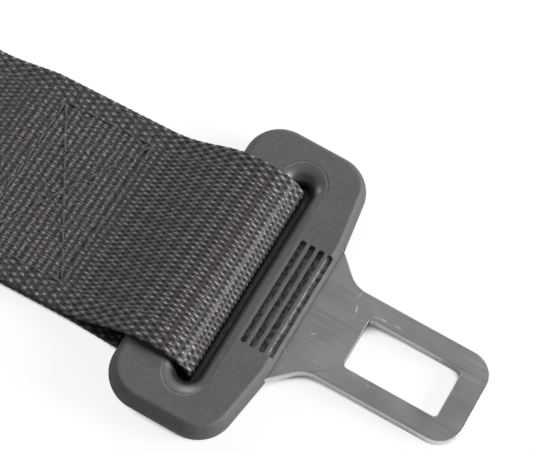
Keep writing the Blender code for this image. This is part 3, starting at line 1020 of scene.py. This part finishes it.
def webbing_cloth(front, rear):
    made, net, shader = finish("charcoal_webbing")
    strip = net.node("ShaderNodeUVMap", {"uv_map": "strip"})
    along, across, _ = net.split(strip)
    height = weave(net, along, across, sewn_share(net, along, front, rear))
    fibres = net.streaks((along, across), FIBRE_SCALE, 2.0, 0.6)
    specks = net.noise(strip, SPECK_SCALE, 1.0, 0.6)
    blotches = net.noise(strip, BLOTCH_SCALE, 1.0)
    # The colour follows the weave's height: painted shade down in the gaps and in the furrows between
    # the yarn ends, and a painted highlight on the floats' crowns
    ends = (across * (2 * math.pi / ROW_PITCH)).wave()
    ground = height.smooth(*GROUND_RISE) * GROUND_SHARE
    crown = height.smooth(*CROWN_HIGHLIGHT_RISE)
    lit = FIBRE_DARK + fibres * FIBRE_SHARE + specks.smooth(*SPECK_RISE) * SPECK_SHARE
    tone = (ground + crown) * lit * blotches.between(*BLOTCH_TONES) * ends.between(*END_SHADE_TONES)
    colour = net.blend(tone.least(1.0), rgba(GAP_SHADE_COLOUR), rgba(FLOAT_COLOUR))
    roughness = height.smooth(*SHINE_RISE).between(*CLOTH_ROUGHNESS)
    fine = bump(net, (fibres + specks) * crown + ends * END_RELIEF, FIBRE_BUMP, 0.8)
    relief = bump(net, height, FLOAT_BUMP, 1.0, fine)
    feed(net, shader, {"Sheen Weight": 0.06, "Sheen Roughness": 0.35, "Sheen Tint": rgba(SHEEN_COLOUR),
                       "Specular IOR Level": 0.3},
         {"Base Color": colour, "Roughness": roughness, "Normal": relief})
    return made


def sewing_thread():
    made, net, shader = finish("twisted_thread")
    turns = net.node("ShaderNodeAttribute", {"attribute_name": "lay_along"}, out="Fac")
    round_it = net.node("ShaderNodeAttribute", {"attribute_name": "lay_around"}, out="Fac")
    plies = ((turns * THREAD_TURNS + round_it) * (THREAD_PLIES * 2 * math.pi)).sin() * 0.5 + 0.5
    # painted shade between the plies and a painted highlight on them
    dark, light = PLY_SHADE_TONES
    colour = net.blend(plies, rgba(THREAD_COLOUR, dark), rgba(THREAD_COLOUR, light))
    feed(net, shader, {"Sheen Weight": 0.1, "Specular IOR Level": 0.45},
         {"Base Color": colour, "Roughness": plies.between(*PLY_ROUGHNESS),
          "Normal": bump(net, plies, PLY_BUMP)})
    return made


def cover_plastic():
    made, net, shader = finish("grained_plastic")
    place, (x, y, z) = own_frame(net)
    beside = x - (SLOT_REAR + SLOT_FRONT) / 2
    past_end = (abs(y) - (SLOT_HALF - SLOT_WIDTH / 2)).most(0.0) * END_SHARE
    from_slot = net.math("SQRT", beside * beside + past_end * past_end) - SLOT_WIDTH / 2
    grained = from_slot.smooth(*GRAIN_ONSET)
    rub_and_highlight = from_slot.smooth(*RUB_AND_HIGHLIGHT_ONSET) * (1 - from_slot.smooth(*RUB_AND_HIGHLIGHT_END))
    in_grips = (1 - abs(y).smooth(*DUST_SIDE)) * (1 - x.smooth(*DUST_FRONT)) * x.smooth(*DUST_REAR)
    dusty = z.smooth(*DUST_FLOOR) * (1 - z.smooth(*DUST_TOP)) * in_grips
    dust = net.noise(place, DUST_SCALE, 2.0, 0.6).smooth(*DUST_RISE)
    grain = net.noise(place, GRAIN_SCALE, 3.0, 0.6)
    cells = net.node("ShaderNodeTexVoronoi", None, {"Vector": place, "Scale": CELL_SCALE})
    spots = net.noise(place, SPOT_SCALE, 1.0, 0.6)
    mottle = net.noise(place, MOTTLE_SCALE, 3.0, 0.55)
    plastic = net.blend(grained, rgba(SMOOTH_COLOUR), rgba(GRAIN_COLOUR))
    # painted shade deep in the slot's throat, where little light reaches
    plastic = net.blend(from_slot.smooth(*THROAT_SHADE_REACH), rgba(THROAT_SHADE_COLOUR), plastic)
    # a lighter ring at the lip's edge: wear from the belt, and a painted highlight along the edge
    plastic = net.blend(rub_and_highlight * RUB_AND_HIGHLIGHT_STRENGTH, plastic, rgba(RUB_AND_HIGHLIGHT_COLOUR))
    plastic = net.blend(dusty * dust, plastic, rgba(DUST_COLOUR))
    shade = (grain * 0.3 + spots * 0.4 + mottle * 0.3).smooth(*SHADE_RISE)
    colour = net.tint(plastic, net.blend(shade, rgba(SHADE_DARK), rgba(SHADE_LIGHT)))
    roughness = LIP_ROUGHNESS + grained * GRAIN_ROUGHNESS + mottle * MOTTLE_ROUGHNESS
    texture = bump(net, (grain * 0.6 + cells * 0.4) * grained, GRAIN_BUMP, 0.7)
    soft = bump(net, mottle, MOTTLE_BUMP, 0.5, texture)
    feed(net, shader, {"Specular IOR Level": 0.5},
         {"Base Color": colour, "Roughness": roughness, "Normal": soft})
    return made


def scratch(net, x, y, start, end, half_width, strength):
    """A straight scratch that fades towards its ends and sides."""
    middle_x, middle_y = [(a + b) / 2 * MM for a, b in zip(start, end)]
    run_x, run_y = [(b - a) / 2 * MM for a, b in zip(start, end)]
    half = math.hypot(run_x, run_y)
    width = half_width * MM
    from_x = x - middle_x
    from_y = y - middle_y
    run = (from_x * run_x + from_y * run_y) / half
    off = (from_y * run_x - from_x * run_y) / half
    beside = 1 - abs(off).smooth(width * SCRATCH_EDGE, width)
    return (1 - abs(run).smooth(half * SCRATCH_FADE, half + width)) * beside * strength


def tongue_steel():
    made, net, shader = finish("plated_steel")
    place, (x, y, z) = own_frame(net)
    sheared = 1 - abs(z).smooth(*SHEARED_RISE)
    lines = net.streaks((x, y, z), LINE_SCALE, 3.0, 0.6)
    cloud = net.noise(place, CLOUD_SCALE, 3.0, 0.6)
    speckle = net.noise(place, SPECKLE_SCALE, 2.0, 0.7)
    scratches = 0.0
    for each in SCRATCHES:
        scratches = scratch(net, x, y, *each) + scratches
    # painted shade over the window's rear wall and its rounded edge
    away = abs(x - WINDOW_REAR).smooth(*WINDOW_EDGE_SHADE_WIDTH).most(abs(y).smooth(*WINDOW_EDGE_SHADE_SIDE))
    window_edge_shade = (1 - away) * (1 - abs(z).smooth(*WINDOW_EDGE_SHADE_HEIGHT)) * WINDOW_EDGE_SHADE_STRENGTH
    worn = (lines * 0.5 + cloud * 0.5).smooth(*WORN_RISE)
    dark, light = WORN_TONES
    colour = net.blend(worn, rgba(STEEL_COLOUR, dark), rgba(STEEL_COLOUR, light))
    colour = net.blend(sheared, colour, rgba(SHEARED_COLOUR))
    colour = net.blend(scratches.least(1.0), colour, rgba(SCRATCH_COLOUR))
    colour = net.blend(window_edge_shade, colour, rgba(WINDOW_EDGE_SHADE_COLOUR))
    roughness = STEEL_ROUGHNESS + worn * WORN_ROUGHNESS + sheared * SHEARED_ROUGHNESS
    relief = bump(net, lines * 0.6 + speckle * 0.4, STEEL_BUMP, 0.6)
    feed(net, shader, {"Metallic": 1.0},
         {"Base Color": colour, "Roughness": roughness, "Normal": relief})
    return made


# Studio

def seen_rays(net):
    """1 for rays that show the background, to the eye or in a surface, and 1 for the eye's alone."""
    path = net.node("ShaderNodeLightPath", out="Is Camera Ray")
    return (path + path.other("Is Glossy Ray") + path.other("Is Transmission Ray")).least(1.0), path


def white_floor():
    """A white floor that keeps the object's shadow and glows a little to the eye, but not under it."""
    made, net, shader = finish("white_floor")
    seen, camera_ray = seen_rays(net)
    sky = net.node("ShaderNodeAmbientOcclusion", None, {"Distance": SHELTER_REACH}, "AO")
    glowing = camera_ray * sky.smooth(*SHELTER_RISE)
    white = net.blend(seen, rgba(FLOOR_BOUNCE), rgba(FLOOR_COLOUR))
    lamps_share = net.blend(glowing, rgba(WHITE), rgba(WHITE, 1 - FLOOR_GLOW))
    glow = net.blend(glowing, rgba(BLACK), rgba(WHITE, FLOOR_GLOW))
    feed(net, shader, {"Roughness": 1.0, "Specular IOR Level": 0.0, "Emission Strength": 1.0},
         {"Base Color": net.tint(white, lamps_share), "Emission Color": glow})
    bm = bmesh.new()
    bmesh.ops.create_grid(bm, x_segments=1, y_segments=1, size=FLOOR_HALF)
    mesh = bpy.data.meshes.new("floor")
    bm.to_mesh(mesh)
    bm.free()
    mesh.materials.append(made)
    floor = linked("floor", mesh)


def surround():
    """White walls to the eye under a dim ceiling, and soft light on the object all round."""
    world = bpy.data.worlds.new("white_surround")
    bpy.context.scene.world = world
    world.use_nodes = True
    net = Net(world.node_tree)
    seen, _ = seen_rays(net)
    _, _, z = net.split(net.node("ShaderNodeTexCoord", out="Generated"))
    walls = net.blend(z.smooth(*WALL_TOP), rgba(WHITE), rgba(WHITE, CEILING_LIGHT))
    shade = net.blend(seen, rgba(WHITE, WORLD_LIGHT), walls)
    net.tree.links.new(shade.socket, world.node_tree.nodes["Background"].inputs["Color"])


def lamps():
    for name, azimuth, height, strength, spread in LAMPS:
        sun = bpy.data.lights.new(name, "SUN")
        sun.energy = strength
        sun.angle = math.radians(spread)
        turn = math.radians(azimuth)
        rise = math.radians(height)
        level = math.cos(rise)
        towards = Vector((level * math.cos(turn), level * math.sin(turn), math.sin(rise)))
        linked(name, sun).rotation_euler = towards.to_track_quat("Z", "Y").to_euler()


def camera():
    data = bpy.data.cameras.new("view")
    data.lens = VIEW_LENS
    data.sensor_width = VIEW_SENSOR
    data.clip_start = VIEW_NEAREST
    made = linked("view", data)
    back = VIEW_RIGHT.cross(VIEW_UP)
    turned = Matrix((VIEW_RIGHT, VIEW_UP, back)).transposed().to_4x4()
    made.matrix_world = TONGUE @ Matrix.Translation(VIEW_PLACE) @ turned
    bpy.context.scene.camera = made


bpy.context.scene.view_settings.view_transform = "Standard"
camera()
white_floor()
surround()
lamps()
tongue_cover()
tongue_plate()
seam_guide = line_curve("seam_guide", [
    [(p.x, p.y, level) for p in line]
    for level in (SEWN_TOP, PACK_LIFT)
    for line in seam_lines()])
strip, strip_length = webbing(seam_guide)
bpy.data.objects.remove(seam_guide)
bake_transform(strip)
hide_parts("webbing")
thread_tree = stitch_tree()
upper_stitches = stitches(thread_tree, "upper_stitches", SEWN_TOP - SEAM_DEPTH, 1.0, NEEDLE_SEED,
                          "needle_thread")
lower_stitches = stitches(thread_tree, "lower_stitches", PACK_LIFT + SEAM_DEPTH, -1.0, BOBBIN_SEED,
                          "bobbin_thread")
